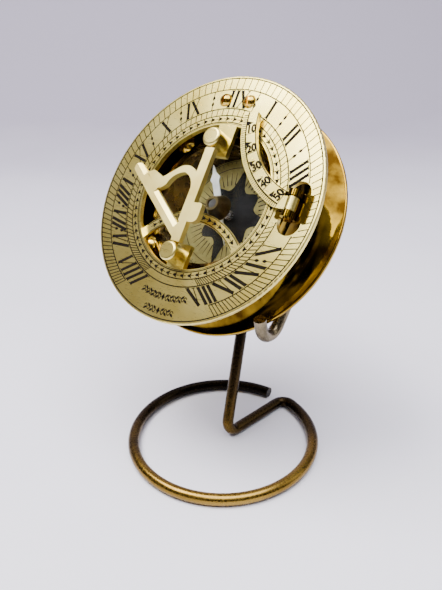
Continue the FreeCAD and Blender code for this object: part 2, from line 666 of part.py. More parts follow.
# ---- the latitude arc ----
def arc_bracket():
    """The clevis that stands in the slot: a block, two cheeks and two ears on the plate."""
    half = BRACKET_LENGTH / 2
    mid_y = BRACKET_Y
    west = SLOT_CENTRE.x - SLOT_WIDTH / 2 + 0.02
    east = SLOT_CENTRE.x + SLOT_WIDTH / 2 - 0.02
    floor = -0.1
    block = box(Vector(west, mid_y - half, -BRACKET_DEPTH), Vector(east, mid_y + half, floor))
    ear_east = east + BRACKET_EAR
    ears = [box(Vector(low_x, mid_y - half, 0), Vector(high_x, mid_y + half, BRACKET_EAR_THICKNESS))
            for low_x, high_x in ((west - BRACKET_EAR, west + 0.9), (east - 0.9, ear_east))]
    feet = [box(Vector(low_x, mid_y - half, floor), Vector(high_x, mid_y + half, 0.1))
            for low_x, high_x in ((west, west + 0.9), (east - 0.9, east))]
    cheeks = []
    cheek_half_width = BRACKET_CHEEK_WIDTH / 2
    for side in (-1, 1):
        outer_y = mid_y + side * half
        low_y, high_y = sorted((outer_y, outer_y - side * BRACKET_CHEEK))
        wall = box(Vector(ARC_AXIS_X - cheek_half_width, low_y, floor - 1),
                   Vector(ARC_AXIS_X + cheek_half_width, high_y, ARC_AXIS_HEIGHT))
        crown = rod(Vector(ARC_AXIS_X, low_y, ARC_AXIS_HEIGHT), NORTH, cheek_half_width,
                    BRACKET_CHEEK)
        cheeks += [wall, crown]
    bracket = block.fuse(ears + feet + cheeks)
    bore = rod(Vector(ARC_AXIS_X, mid_y - half - 1, ARC_AXIS_HEIGHT), NORTH, ARC_PIN_RADIUS,
               BRACKET_LENGTH + 2)
    return bracket.cut(bore).removeSplitter()


def arc_pivot_pin():
    """The pin through both cheeks of the bracket."""
    length = BRACKET_LENGTH + 0.6
    start = Vector(ARC_AXIS_X, BRACKET_Y - length / 2, ARC_AXIS_HEIGHT)
    return rod(start, NORTH, ARC_PIN_RADIUS, length)


def latitude_arc():
    """The crescent scale with the knuckle that it folds on, lying flat to the west."""
    low = ARC_AXIS_HEIGHT - ARC_THICKNESS / 2
    high = ARC_AXIS_HEIGHT + ARC_THICKNESS / 2
    outer = rod(ARC_OUTER_CENTRE + UP * low, UP, ARC_OUTER_RADIUS, ARC_THICKNESS)
    inner = rod(ARC_INNER_CENTRE + UP * low, UP, ARC_INNER_RADIUS, ARC_THICKNESS)
    crescent = outer.cut(inner)
    root_run = ARC_ROOT_NORTH - ARC_ROOT_SOUTH
    below = ARC_ROOT_SOUTH - root_run
    above = ARC_ROOT_NORTH + root_run
    keep = slab([(below.x, below.y), (above.x, above.y), (above.x, ARC_TIP_Y), (0, ARC_TIP_Y),
                 (0, below.y)], low, high)
    crescent = crescent.common(keep)
    mid_y = BRACKET_Y
    half = ARC_KNUCKLE_LENGTH / 2
    knuckle = rod(Vector(ARC_AXIS_X, mid_y - half, ARC_AXIS_HEIGHT), NORTH, ARC_KNUCKLE_RADIUS,
                  ARC_KNUCKLE_LENGTH)
    neck_x = ARC_ROOT_SOUTH.x - ARC_NECK_REACH
    neck = box(Vector(neck_x, mid_y - half, low), Vector(ARC_AXIS_X, mid_y + half, high))
    neck = neck.common(outer)
    arc = crescent.fuse([neck, knuckle])
    bore = rod(Vector(ARC_AXIS_X, mid_y - half - 1, ARC_AXIS_HEIGHT), NORTH,
               ARC_PIN_RADIUS + HINGE_BORE_CLEARANCE, ARC_KNUCKLE_LENGTH + 2)
    return arc.cut(bore).removeSplitter()


# ---- assembly ----
def sundial_nodes():
    """Every piece of the sundial, in the sundial's own frame."""
    south, north = bar_ends()
    nodes = {
        "case_body": case_body(),
        "case_base": case_base(),
        "compass_bowl": compass_bowl(),
        "compass_card": compass_card(),
        "pivot_post": pivot_post(),
        "compass_glass": compass_glass(),
        "bezel_ring": bezel_ring(),
        "hinge_bracket": hinge_bracket(),
        "hinge_pin": hinge_pin(),
        "needle": needle(),
        "needle_cap": needle_cap(),
        "cap_jewel": cap_jewel(),
        "dial_plate": dial_plate(),
        "hinge_block": hinge_block(),
        "gnomon_post_north": gnomon_post(POST_NORTH_Y),
        "gnomon_post_south": gnomon_post(POST_SOUTH_Y),
        "gnomon_spring": gnomon_spring(),
        "arc_bracket": arc_bracket(),
        "arc_pivot_pin": arc_pivot_pin(),
        "gnomon": gnomon(),
        "gnomon_pin_south": gnomon_pin(POST_SOUTH_Y, south),
        "gnomon_pin_north": gnomon_pin(POST_NORTH_Y, north),
        "latitude_arc": latitude_arc(),
    }
    nodes.update(bezel_screws())
    for name, side in (("hinge_screw_west", -1), ("hinge_screw_east", 1)):
        nodes[name] = slotted_screw(hinge_screw_centre(side), HINGE_SCREW_HEAD, HINGE_SCREW_RISE,
                                    HINGE_SCREW_SHANK, HINGE_SCREW_LENGTH, 90 + 8 * side)
    return nodes


def stand_nodes():
    """The pieces of the stand, in the stand's frame."""
    stem = stand_wire()
    cradle = cradle_wire()
    return {"stand_wire": stem, "cradle_wire": cradle, "brazed_joint": brazed_joint(stem, cradle)}


def sundial_placement():
    """Where the sundial lies in the cradle."""
    tilt = Rotation(EAST, DIAL_INCLINATION)
    return Placement(DIAL_CENTRE, tilt.multiply(Rotation(UP, DIAL_ROLL)))


def main():
    nodes = stand_nodes()
    placement = sundial_placement()
    for name, solid in sundial_nodes().items():
        solid.Placement = placement.multiply(solid.Placement)
        nodes[name] = solid
    bounds = FreeCAD.BoundBox()
    for solid in nodes.values():
        bounds.add(solid.optimalBoundingBox(True))
    shift = Vector(-bounds.Center.x, -bounds.Center.y, -bounds.ZMin)
    os.makedirs("parts", exist_ok=True)
    for name, solid in nodes.items():
        solid.translate(shift)
        solid.exportStep(f"parts/{name}.step")
    axis_points = {"shift": shift, "dial centre": DIAL_CENTRE + shift,
                   "hinge": placement.multVec(hinge_axis_point()) + shift}
    for name, point in axis_points.items():
        print(name, [round(value, 4) for value in point])


main()
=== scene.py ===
import json
import math

import bpy
from mathutils import Matrix, Vector


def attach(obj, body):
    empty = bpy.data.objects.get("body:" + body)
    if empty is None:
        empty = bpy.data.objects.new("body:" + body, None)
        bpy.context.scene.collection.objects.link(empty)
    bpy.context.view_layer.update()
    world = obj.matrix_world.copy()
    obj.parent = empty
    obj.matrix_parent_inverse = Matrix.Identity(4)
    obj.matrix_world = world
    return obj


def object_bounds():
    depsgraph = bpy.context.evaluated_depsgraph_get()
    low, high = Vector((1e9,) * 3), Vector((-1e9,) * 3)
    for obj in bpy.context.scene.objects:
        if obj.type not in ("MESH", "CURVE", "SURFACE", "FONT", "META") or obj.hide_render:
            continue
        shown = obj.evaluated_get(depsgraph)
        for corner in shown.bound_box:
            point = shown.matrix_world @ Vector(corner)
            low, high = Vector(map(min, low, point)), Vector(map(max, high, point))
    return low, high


# Looks for the pocket sundial on its wire stand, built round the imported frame.
#
# Engraving is drawn in the sundial's own plane: x runs east and y north from the dial's centre, in
# millimetres, and z is the height above the dial plate's top face. DIAL turns such a point into
# the frame's metres.

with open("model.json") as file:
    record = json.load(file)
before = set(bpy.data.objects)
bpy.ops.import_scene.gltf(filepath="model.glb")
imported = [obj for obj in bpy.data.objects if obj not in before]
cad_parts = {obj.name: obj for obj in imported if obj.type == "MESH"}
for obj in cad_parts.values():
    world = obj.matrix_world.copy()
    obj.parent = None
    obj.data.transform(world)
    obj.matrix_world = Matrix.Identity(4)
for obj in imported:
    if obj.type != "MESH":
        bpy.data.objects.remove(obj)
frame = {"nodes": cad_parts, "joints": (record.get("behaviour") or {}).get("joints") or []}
cad_bounds = [list(corner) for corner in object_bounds()]

MM = 0.001
JOINTS = {joint["name"]: joint for joint in frame["joints"]}

# ---- sizes of the dial, in millimetres and degrees ----
NEEDLE_DEPTH = 9.6
CARD_DEPTH = 15.5
RIM_CIRCLE = 37.3
TICK_CIRCLE = 33.7
HOUR_CIRCLE = 27.45
LEAF_CIRCLE = 25.2
INNER_CIRCLE = 23.1
EDGE_CIRCLE = 22.7
TOE = Vector((0.0, -17.4))
TICK_STEP = 2.5
TICK_LIMIT = 127.5
SLOT_X, SLOT_Y, SLOT_LENGTH, SLOT_WIDTH = 30.9, 0.9, 15.3, 6.9
MORNING = ("XI", "X", "IX", "VIII", "VII", "VI", "V", "IIII")
AFTERNOON = ("I", "II", "III", "IIII", "V", "VI", "VII", "VIII")
MORNING_AZIMUTHS = (30.5, 50, 72, 95, 113, 127, 142.5, 152.5)
AFTERNOON_AZIMUTHS = (24.5, 46.5, 70, 92, 111, 125, 138, 155)
MORNING_HALVES = (16.7, 39, 61.5, 84, 104, 120)
AFTERNOON_HALVES = (12.5, 35.5, 58.5, 81, 103.5, 118.5)
LEAF_COUNT = 58

# ---- strokes of the engraving, in millimetres ----
INLAY_HEIGHT = 0.012
CIRCLE_STEPS = 288
BOLD_CIRCLE, MIDDLE_CIRCLE, LIGHT_CIRCLE, HAIR_CIRCLE = 0.36, 0.34, 0.32, 0.16
TICK_LINE = 0.28
RAY_LINE = 0.26
BAND_MARGIN = 0.45
LETTER_WIDTHS = {"I": 1.85, "V": 3.5, "X": 3.4}
LETTER_FOOT = 0.72
LETTER_THICK, LETTER_THIN, LETTER_SERIF = 0.95, 0.28, 0.27
CONDENSED = 0.76
NUMERAL_SLOT_MARGIN = 1.0
HALF_HOUR_SLOT_MARGIN = 3.0


def dial_matrix():
    """The sundial's own frame, read from its hinges: north, east and the dial's normal."""
    north = Vector(JOINTS["gnomon_fold"]["axis"]).normalized()
    normal = Vector(JOINTS["needle_spin"]["axis"]).normalized()
    east = north.cross(normal)
    centre = Vector(JOINTS["needle_spin"]["pos_m"]) + normal * NEEDLE_DEPTH * MM
    turn = Matrix((east, north, normal)).transposed().to_4x4()
    return Matrix.Translation(centre) @ turn @ Matrix.Scale(MM, 4)


DIAL = dial_matrix()


# ---- mesh helpers ----
def add_mesh(name, points, faces, body):
    """A mesh object from points in the sundial's frame, riding on a body."""
    mesh = bpy.data.meshes.new(name)
    mesh.from_pydata([DIAL @ Vector(point) for point in points], [], faces)
    mesh.update()
    piece = bpy.data.objects.new(name, mesh)
    bpy.context.scene.collection.objects.link(piece)
    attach(piece, body)
    return piece


class Inlay:
    """Flat black-filled engraving, gathered as polygons at one height."""

    def __init__(self, height):
        self.height = height
        self.points = []
        self.faces = []

    def polygon(self, corners):
        first = len(self.points)
        self.points += [(x, y, self.height) for x, y in corners]
        self.faces.append(list(range(first, first + len(corners))))

    def line(self, start, end, width, end_width=None):
        """A straight stroke, with square ends."""
        end_width = width if end_width is None else end_width
        start, end = Vector(start), Vector(end)
        along = (end - start).normalized()
        side = Vector((-along.y, along.x))
        self.polygon([start - side * width / 2, end - side * end_width / 2,
                      end + side * end_width / 2, start + side * width / 2])

    def curve(self, path, width):
        """A stroke of even width along a list of points."""
        left, right = [], []
        for index, point in enumerate(path):
            before = path[max(index - 1, 0)]
            after = path[min(index + 1, len(path) - 1)]
            along = (after - before).normalized()
            side = Vector((-along.y, along.x)) * width / 2
            left.append(point + side)
            right.append(point - side)
        for index in range(len(path) - 1):
            self.polygon([right[index], right[index + 1], left[index + 1], left[index]])

    def lozenge(self, centre, along, length, width):
        """A pointed leaf: two tips, swelling in the middle."""
        side = Vector((-along.y, along.x))
        self.polygon([centre - along * length / 2, centre - along * length / 8 - side * width / 2,
                      centre + along * length / 8 - side * width / 2, centre + along * length / 2,
                      centre + along * length / 8 + side * width / 2,
                      centre - along * length / 8 + side * width / 2])

    def piece(self, name, body, slot, material):
        made = add_mesh(name, self.points, self.faces, body)
        made.data.materials.append(material)
        return made


def on_dial(radius, azimuth):
    """A point of the dial at a clockwise azimuth from north."""
    angle = math.radians(azimuth)
    return Vector((radius * math.sin(angle), radius * math.cos(angle)))


def in_slot(point, margin=0.25):
    """True over the slot that the latitude arc's bracket stands in."""
    straight = (SLOT_LENGTH - SLOT_WIDTH) / 2
    along = max(abs(point.y - SLOT_Y) - straight, 0)
    return math.hypot(point.x - SLOT_X, along) < SLOT_WIDTH / 2 + margin


def reach_circle(point, along, radius):
    """Distance along a direction from a point inside a circle to the circle."""
    middle = point.dot(along)
    return -middle + math.sqrt(middle ** 2 - point.length_squared + radius ** 2)


def circle(inlay, radius, width, start=0, end=360):
    """An engraved circle, or part of one, left out over the slot."""
    for step in range(CIRCLE_STEPS):
        first = start + (end - start) * step / CIRCLE_STEPS
        second = start + (end - start) * (step + 1) / CIRCLE_STEPS
        if in_slot(on_dial(radius, (first + second) / 2)):
            continue
        inlay.polygon([on_dial(radius - width / 2, first), on_dial(radius - width / 2, second),
                       on_dial(radius + width / 2, second), on_dial(radius + width / 2, first)])


# ---- engraving on the dial plate ----
def engrave_circles(inlay):
    limit = tick_end_azimuth(TICK_CIRCLE)
    circle(inlay, RIM_CIRCLE, BOLD_CIRCLE)
    circle(inlay, TICK_CIRCLE, MIDDLE_CIRCLE, -limit, limit)
    circle(inlay, HOUR_CIRCLE, BOLD_CIRCLE)
    circle(inlay, LEAF_CIRCLE, MIDDLE_CIRCLE)
    circle(inlay, INNER_CIRCLE, LIGHT_CIRCLE)
    circle(inlay, EDGE_CIRCLE, HAIR_CIRCLE)


def tick_end_azimuth(radius):
    """Azimuth at which the last hour line crosses a circle."""
    along = on_dial(1, TICK_LIMIT)
    point = TOE + along * reach_circle(TOE, along, radius)
    return math.degrees(math.atan2(point.x, point.y))


def engrave_ticks(inlay):
    """Rays from the gnomon's toe, drawn across the outer and the inner band."""
    count = round(2 * TICK_LIMIT / TICK_STEP) + 1
    for index in range(count):
        along = on_dial(1, -TICK_LIMIT + TICK_STEP * index)
        for inner, outer in ((TICK_CIRCLE, RIM_CIRCLE), (LEAF_CIRCLE, HOUR_CIRCLE)):
            start = TOE + along * reach_circle(TOE, along, inner)
            end = TOE + along * reach_circle(TOE, along, outer)
            if in_slot(end):
                continue
            while in_slot(start):
                start = start.lerp(end, 0.1)
            inlay.line(start, end, TICK_LINE)


def band_point(azimuth, across, rise):
    """A point of a numeral: across runs along the reading direction, rise from foot to top."""
    centre = on_dial((TICK_CIRCLE + HOUR_CIRCLE) / 2, azimuth)
    up = (TOE - centre).normalized()
    right = Vector((up.y, -up.x))
    point = centre + right * across
    foot = point - up * reach_circle(point, -up, TICK_CIRCLE - BAND_MARGIN)
    top_gap = point.dot(up)
    top_radius = HOUR_CIRCLE + BAND_MARGIN
    top = point + up * (-top_gap - math.sqrt(top_gap ** 2 - point.length_squared
                                             + top_radius ** 2))
    return foot.lerp(top, rise)


def engrave_numeral(inlay, text, azimuth):
    """A Roman numeral with thick and thin strokes and hairline serifs, its foot outermost."""
    squeeze = CONDENSED if text.startswith("VI") else 1.0
    widths = {letter: width * squeeze for letter, width in LETTER_WIDTHS.items()}
    foot = LETTER_FOOT * squeeze
    left = -sum(widths[letter] for letter in text) / 2

    def stroke(x0, y0, x1, y1, width):
        inlay.line(band_point(azimuth, x0, y0), band_point(azimuth, x1, y1), width)

    def bar(x0, x1, rise):
        stroke(x0, rise, x1, rise, LETTER_SERIF)

    for letter in text:
        width = widths[letter]
        middle, right = left + width / 2, left + width
        if letter == "I":
            stroke(middle, 0, middle, 1, LETTER_THICK)
            bar(middle - foot, middle + foot, 0)
            bar(middle - foot, middle + foot, 1)
        elif letter == "V":
            stroke(left + 0.35, 1, middle, 0, LETTER_THICK)
            stroke(right - 0.6, 1, middle, 0, LETTER_THIN)
            bar(left - 0.15, left + 1.0, 1)
            bar(right - 1.05, right - 0.15, 1)
        else:
            stroke(left + 0.45, 1, right - 0.45, 0, LETTER_THICK)
            stroke(right - 0.45, 1, left + 0.45, 0, LETTER_THIN)
            for x0, x1, rise in ((left, left + 1.1, 1), (right - 1.0, right, 1),
                                 (left, left + 1.0, 0), (right - 1.1, right, 0)):
                bar(x0, x1, rise)
        left = right


def engrave_hours(inlay):
    engrave_numeral(inlay, "XII", 0)
    for side, names, azimuths in ((-1, MORNING, MORNING_AZIMUTHS),
                                  (1, AFTERNOON, AFTERNOON_AZIMUTHS)):
        for azimuth, name in zip(azimuths, names):
            centre = on_dial((TICK_CIRCLE + HOUR_CIRCLE) / 2, side * azimuth)
            if not in_slot(centre, NUMERAL_SLOT_MARGIN):
                engrave_numeral(inlay, name, side * azimuth)


def engrave_half_hours(inlay):
    """Between the numerals: a ray broken by two leaves that point at each other."""
    for side, azimuths in ((-1, MORNING_HALVES), (1, AFTERNOON_HALVES)):
        for azimuth in azimuths:
            centre = on_dial((TICK_CIRCLE + HOUR_CIRCLE) / 2, side * azimuth)
            if in_slot(centre, HALF_HOUR_SLOT_MARGIN):
                continue
            along = (centre - TOE).normalized()
            outer = TOE + along * reach_circle(TOE, along, TICK_CIRCLE)
            inner = TOE + along * reach_circle(TOE, along, HOUR_CIRCLE)
            for start, end in ((inner, outer), (outer, inner)):
                inlay.line(start, start.lerp(end, 0.26), RAY_LINE)
                inlay.lozenge(start.lerp(end, 0.34), along, 1.75, 0.85)


def engrave_leaf(inlay, centre, along):
    """One leaf of the running border: a bud with two leaflets behind it."""
    side = Vector((-along.y, along.x))
    inlay.lozenge(centre + along * 0.3, along, 1.45, 0.8)
    for turn in (-1, 1):
        leaflet = (-along * 0.5 + side * turn * 0.9).normalized()
        inlay.lozenge(centre - along * 0.15 + side * turn * 0.42, leaflet, 0.95, 0.45)
    inlay.line(centre - along * 1.25, centre - along * 0.1, 0.2)


def engrave_leaf_border(inlay):
    radius = (LEAF_CIRCLE + INNER_CIRCLE) / 2
    for index in range(LEAF_COUNT):
        azimuth = 360 * (index + 0.5) / LEAF_COUNT
        engrave_leaf(inlay, on_dial(radius, azimuth), on_dial(1, azimuth + 90))


FLOURISH_ROWS = ((31.1, 14.0, 4), (35.2, 7.5, 2))
FLOURISH_START = 1.6
FLOURISH_SWING = 0.95
FLOURISH_STEPS = 40


def engrave_flourish(inlay):
    """A plain leafy scroll in two rows, in the blank space at the foot of the dial.

    A row is its radius, the degrees that it spreads to each side, and its waves on each side.
    """
    for radius, spread, waves in FLOURISH_ROWS:
        for side in (-1, 1):
            path = []
            for step in range(FLOURISH_STEPS + 1):
                part = step / FLOURISH_STEPS
                swing = math.sin(part * waves * 2 * math.pi) * FLOURISH_SWING * (1 - 0.4 * part)
                path.append(on_dial(radius + swing, 180 + side * (FLOURISH_START + part * spread)))
            inlay.curve(path, 0.3)
            for leaf in range(2 * waves):
                part = (leaf + 0.5) / (2 * waves)
                lift = 1 if leaf % 2 == 0 else -1
                azimuth = 180 + side * (FLOURISH_START + part * spread)
                at = on_dial(radius - lift * 0.55, azimuth)
                tilt = on_dial(1, 180 + side * (90 + 40 * lift + part * spread))
                inlay.lozenge(at, tilt, 1.7, 0.7)
        inlay.lozenge(on_dial(radius, 180), Vector((0, 1)), 2.3, 0.9)
        inlay.lozenge(on_dial(radius, 180), Vector((1, 0)), 1.6, 0.7)


# ---- engraving on the spring and the latitude arc ----
SPRING_CENTRE = Vector((0, -29.2))
SPRING_RADIUS = 23.3
SPRING_EDGE_INSET = 1.2
SPRING_HALF_SPREAD = 44
SPRING_LEAF_SPREAD = 39
SPRING_LEAVES = 15
SPRING_TOP = -1.6
ARC_MIDDLE_HEIGHT, ARC_HALF_THICKNESS = 1.9, 0.75
ARC_TOP = ARC_MIDDLE_HEIGHT + ARC_HALF_THICKNESS
ARC_OUTER_CENTRE, ARC_OUTER_RADIUS = Vector((36.5, 27.9)), 30.2
ARC_INNER_CENTRE, ARC_INNER_RADIUS = Vector((35.9, 28.3)), 24.95
ARC_LINE_CENTRE, ARC_LINE_RADIUS = Vector((37.07, 28.03)), 29.25
ARC_ROOT_TURN = 250.4
ARC_CELL = 12.9
ARC_TIP_TURN = 185.2
ARC_NUMBERS = (50, 40, 30, 20, 10)
ARC_NUMBER_SIZE = 3.2
ARC_NUMBER_BOLDNESS = 0.18
ARC_STEPS = 44


def engrave_spring(inlay):
    """Edge lines and a running leaf border along the arched spring."""
    for radius in (SPRING_RADIUS - SPRING_EDGE_INSET, SPRING_RADIUS + SPRING_EDGE_INSET):
        turns = [-SPRING_HALF_SPREAD + 2 * SPRING_HALF_SPREAD * step / 60 for step in range(61)]
        path = [SPRING_CENTRE + on_dial(radius, turn) for turn in turns]
        inlay.curve([point for point in path if point.length < 22.2], TICK_LINE)
    for step in range(SPRING_LEAVES):
        azimuth = -SPRING_LEAF_SPREAD + 2 * SPRING_LEAF_SPREAD * step / (SPRING_LEAVES - 1)
        centre = SPRING_CENTRE + on_dial(SPRING_RADIUS, azimuth)
        if centre.length < 21.5:
            engrave_leaf(inlay, centre, on_dial(1, azimuth + 90))


def on_arc(turn, part):
    """A point of the crescent: part is -1 at its outer edge, 0 at its line, 1 at its inner edge."""
    along = Vector((math.cos(math.radians(turn)), math.sin(math.radians(turn))))
    if part < 0:
        edge = reach_circle(ARC_LINE_CENTRE - ARC_OUTER_CENTRE, along, ARC_OUTER_RADIUS)
    else:
        edge = reach_circle(ARC_LINE_CENTRE - ARC_INNER_CENTRE, along, ARC_INNER_RADIUS)
    return ARC_LINE_CENTRE + along * (ARC_LINE_RADIUS + (edge - ARC_LINE_RADIUS) * abs(part))


def engrave_arc(inlay):
    """Tick band on the crescent's outer edge, a thick line, and a cell with an arrow per number."""
    for index in range(50):
        turn = ARC_ROOT_TURN - ARC_CELL * index / 10
        inlay.line(on_arc(turn, -0.9), on_arc(turn, 0), RAY_LINE)
    for part, width in ((0, 0.42), (0.95, 0.3)):
        path = [on_arc(ARC_ROOT_TURN - (ARC_ROOT_TURN - ARC_TIP_TURN) * step / ARC_STEPS, part)
                for step in range(ARC_STEPS + 1)]
        inlay.curve(path, width)
    for index in range(len(ARC_NUMBERS)):
        turn = ARC_ROOT_TURN - ARC_CELL * index
        inlay.line(on_arc(turn, 0), on_arc(turn, 0.95), 0.2)
        middle = on_arc(turn - ARC_CELL * 0.52, 0.33)
        along = (on_arc(turn, 1) - on_arc(turn, 0)).normalized()
        side = Vector((-along.y, along.x))
        inlay.polygon([middle - along * 0.9 - side * 0.7, middle + along * 1.1 - side * 0.1,
                       middle - along * 0.9 + side * 0.8])


def arc_number(value, turn, material):
    """A number on the crescent, read from its outer edge, as a flat mesh."""
    text = bpy.data.curves.new(f"arc_number_{value}", "FONT")
    text.body = str(value)
    text.align_x = "CENTER"
    text.align_y = "CENTER"
    text.size = ARC_NUMBER_SIZE
    text.offset = ARC_NUMBER_BOLDNESS
    holder = bpy.data.objects.new(f"text_{value}", text)
    bpy.context.scene.collection.objects.link(holder)
    bpy.context.view_layer.update()
    flat = holder.to_mesh()
    centre = on_arc(turn, 0.52)
    along = (on_arc(turn, 1) - on_arc(turn, 0)).normalized()
    up = Vector((-along.y, along.x))
    points = []
    for vertex in flat.vertices:
        spot = centre + along * vertex.co.x * 0.95 + up * vertex.co.y
        points.append((spot.x, spot.y, ARC_TOP + INLAY_HEIGHT))
    faces = [list(face.vertices) for face in flat.polygons]
    holder.to_mesh_clear()
    bpy.data.objects.remove(holder)
    bpy.data.curves.remove(text)
    piece = add_mesh(f"arc_number_{value}", points, faces, "latitude_arc")
    piece.data.materials.append(material)


# ---- the compass card ----
CARD_RIM, CARD_TICKS, CARD_RING = 18.35, 18.2, 15.9
SUNBURST_INNER, SUNBURST_OUTER, SUNBURST_RAYS = 10.2, 14.4, 48
STAR_WAIST, STAR_TIP, STAR_WAIST_TURN = 7.0, 16.5, 24
SCALLOP_RADIUS, SCALLOP_DEPTH, SCALLOPS, SCALLOP_STEP = 9.6, 1.1, 8, 3.75


def print_card(dark):
    """A bold compass star on a scalloped disc, with a sunburst and a ring of degrees."""
    inlay = Inlay(-CARD_DEPTH + INLAY_HEIGHT)
    for index in range(72):
        length = 1.5 if index % 6 == 0 else 0.8
        inlay.line(on_dial(CARD_TICKS, 5 * index), on_dial(CARD_TICKS - length, 5 * index), 0.16)
    for index in range(SUNBURST_RAYS):
        azimuth = 360 / SUNBURST_RAYS * (index + 0.5)
        inlay.line(on_dial(SUNBURST_INNER, azimuth), on_dial(SUNBURST_OUTER, azimuth), 0.42, 0.1)
    circle(inlay, CARD_RIM, 0.18)
    circle(inlay, CARD_RING, 0.22)
    for index in range(4):
        inlay.polygon([on_dial(STAR_WAIST, 90 * index - STAR_WAIST_TURN),
                       on_dial(STAR_TIP, 90 * index),
                       on_dial(STAR_WAIST, 90 * index + STAR_WAIST_TURN)])
    edge = []
    for step in range(round(360 / SCALLOP_STEP) + 1):
        wave = math.cos(math.radians(SCALLOPS * SCALLOP_STEP * step))
        edge.append(on_dial(SCALLOP_RADIUS + SCALLOP_DEPTH * wave, SCALLOP_STEP * step))
    for first, second in zip(edge, edge[1:]):
        inlay.polygon([Vector((0, 0)), first, second])
    inlay.piece("card_print", "case", "card", dark)


# ---- materials ----
def new_material(name):
    material = bpy.data.materials.new(name)
    material.use_nodes = True
    nodes = material.node_tree.nodes
    nodes.clear()
    output = nodes.new("ShaderNodeOutputMaterial")
    shader = nodes.new("ShaderNodeBsdfPrincipled")
    material.node_tree.links.new(shader.outputs["BSDF"], output.inputs["Surface"])
    return material, material.node_tree, shader


def object_noise(tree, scale, stretch=(1, 1, 1), detail=4.0, turn=None):
    """Noise in the object's own metres, optionally stretched along one direction."""
    coordinates = tree.nodes.new("ShaderNodeTexCoord")
    mapping = tree.nodes.new("ShaderNodeMapping")
    noise = tree.nodes.new("ShaderNodeTexNoise")
    mapping.inputs["Scale"].default_value = stretch
    if turn is not None:
        mapping.inputs["Rotation"].default_value = turn
    noise.inputs["Scale"].default_value = scale
    noise.inputs["Detail"].default_value = detail
    tree.links.new(coordinates.outputs["Object"], mapping.inputs["Vector"])
    tree.links.new(mapping.outputs["Vector"], noise.inputs["Vector"])
    return noise.outputs["Fac"]


def ramp(tree, source, stops):
    """A colour ramp; a stop is a position and a colour or a grey value."""
    node = tree.nodes.new("ShaderNodeValToRGB")
    elements = node.color_ramp.elements
    while len(elements) < len(stops):
        elements.new(0.5)
    for element, (position, colour) in zip(elements, stops):
        element.position = position
        grey = isinstance(colour, (int, float))
        element.color = (colour, colour, colour, 1) if grey else (*colour, 1)
    tree.links.new(source, node.inputs["Fac"])
    return node.outputs["Color"]


def add_bump(tree, shader, source, strength, distance):
    bump = tree.nodes.new("ShaderNodeBump")
    bump.inputs["Strength"].default_value = strength
    bump.inputs["Distance"].default_value = distance
    tree.links.new(source, bump.inputs["Height"])
    tree.links.new(bump.outputs["Normal"], shader.inputs["Normal"])


def metal(name, dark, light, roughness, cloud_scale, grain, bump, spread=(0.34, 0.64)):
    """A metal with a cloudy mottle in its colour, and a fine grain in its roughness and bump. The
    mottle is tarnish on most brasses and painted reflection on the case brass.
    """
    material, tree, shader = new_material(name)
    shader.inputs["Metallic"].default_value = 1.0
    # The cloud mottles the colour: tarnish on most brasses, painted reflection of a room on the
    # case brass.
    cloud = object_noise(tree, cloud_scale, detail=6.0)
    tarnish_and_painted_reflection = ramp(tree, cloud, [(spread[0], dark), (spread[1], light)])
    tree.links.new(tarnish_and_painted_reflection, shader.inputs["Base Color"])
    smooth, rough = roughness
    grain_scale, stretch, turn = grain
    fine = object_noise(tree, grain_scale, stretch=stretch, detail=3.0, turn=turn)
    tree.links.new(ramp(tree, fine, [(0.25, smooth), (0.75, rough)]), shader.inputs["Roughness"])
    add_bump(tree, shader, fine, bump[0], bump[1])
    return material


def matt(name, dark, light, roughness, scale, bump, shine=0.5):
    """A paint or paper surface: two close colours in a fine mottle."""
    material, tree, shader = new_material(name)
    mottle = object_noise(tree, scale, detail=5.0)
    tree.links.new(ramp(tree, mottle, [(0.3, dark), (0.7, light)]), shader.inputs["Base Color"])
    shader.inputs["Roughness"].default_value = roughness
    shader.inputs["Specular IOR Level"].default_value = shine
    add_bump(tree, shader, mottle, bump[0], bump[1])
    return material


def clear_glass():
    """Clear glass with faint smears in its roughness."""
    material, tree, shader = new_material("compass_glass")
    shader.inputs["Base Color"].default_value = (0.97, 0.985, 0.98, 1)
    shader.inputs["Transmission Weight"].default_value = 1.0
    shader.inputs["IOR"].default_value = 1.15
    smear = object_noise(tree, 220.0, detail=3.0)
    tree.links.new(ramp(tree, smear, [(0.4, 0.0), (0.8, 0.05)]), shader.inputs["Roughness"])
    return material


def floor_paper():
    """Pale paper with a faint mottle, greyer with distance behind the object as painted falloff of
    the light.
    """
    material, tree, shader = new_material("floor_paper")
    coordinates = tree.nodes.new("ShaderNodeTexCoord")
    # Painted falloff of light: the paper is darker towards the back and up the backdrop.
    behind = tree.nodes.new("ShaderNodeVectorMath")
    behind.operation = "DOT_PRODUCT"
    behind.inputs[1].default_value = (-0.66, 0.75, 0.3)
    tree.links.new(coordinates.outputs["Object"], behind.inputs[0])
    mottle = object_noise(tree, 9.0, detail=5.0)
    mottle_and_painted_falloff = tree.nodes.new("ShaderNodeMath")
    mottle_and_painted_falloff.operation = "MULTIPLY_ADD"
    mottle_and_painted_falloff.inputs[1].default_value = 0.12
    tree.links.new(mottle, mottle_and_painted_falloff.inputs[0])
    tree.links.new(behind.outputs["Value"], mottle_and_painted_falloff.inputs[2])
    stops = [(0.0, (0.84, 0.835, 0.96)), (0.2, (0.68, 0.67, 0.80)), (0.5, (0.36, 0.335, 0.44))]
    tree.links.new(ramp(tree, mottle_and_painted_falloff.outputs["Value"], stops), shader.inputs["Base Color"])
    shader.inputs["Roughness"].default_value = 0.85
    add_bump(tree, shader, mottle, 0.02, 0.0002)
    return material


